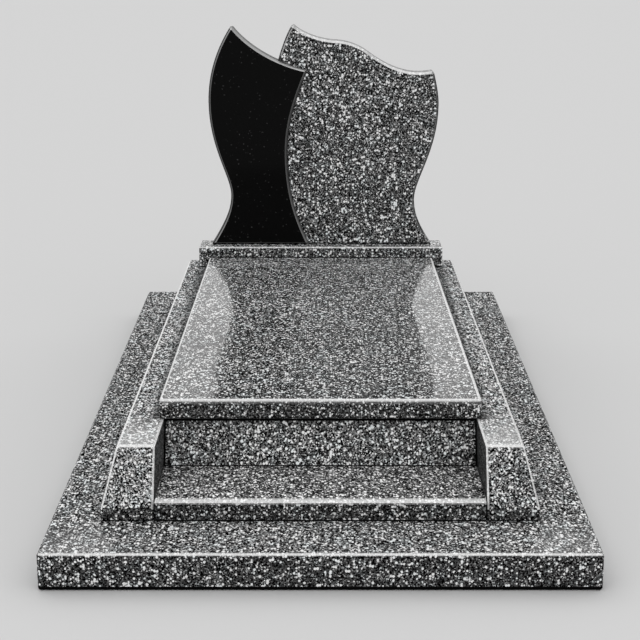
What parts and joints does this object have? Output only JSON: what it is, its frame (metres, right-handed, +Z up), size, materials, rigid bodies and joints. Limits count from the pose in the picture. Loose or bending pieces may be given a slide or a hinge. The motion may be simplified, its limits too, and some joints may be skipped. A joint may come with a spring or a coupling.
{
  "type": "grave monument",
  "caption": "Polished granite grave monument: plinth, kerbs with a flower shelf, flat ledger slab and a headstone of a speckled stele interlocked with a black one.",
  "frame": {"origin": "under the middle of the plinth, on the ground", "axes": "+X to the right as seen from the foot, +Y from foot to head, +Z up"},
  "size_m": [1.2, 2.3, 1.02],
  "materials": {
    "speckled_granite": "polished granite of black, grey and white grains about 5 mm across",
    "black_granite": "polished fine black granite with a few tiny specks"
  },
  "bodies": {
    "root": {"base_slab": "speckled_granite", "left_kerb": "speckled_granite", "right_kerb": "speckled_granite", "rear_kerb": "speckled_granite", "front_riser": "speckled_granite", "flower_shelf": "speckled_granite", "ledger": "speckled_granite", "headstone_base": "speckled_granite", "granite_stele": "speckled_granite", "black_stele": "black_granite"}
  },
  "joints": []
}
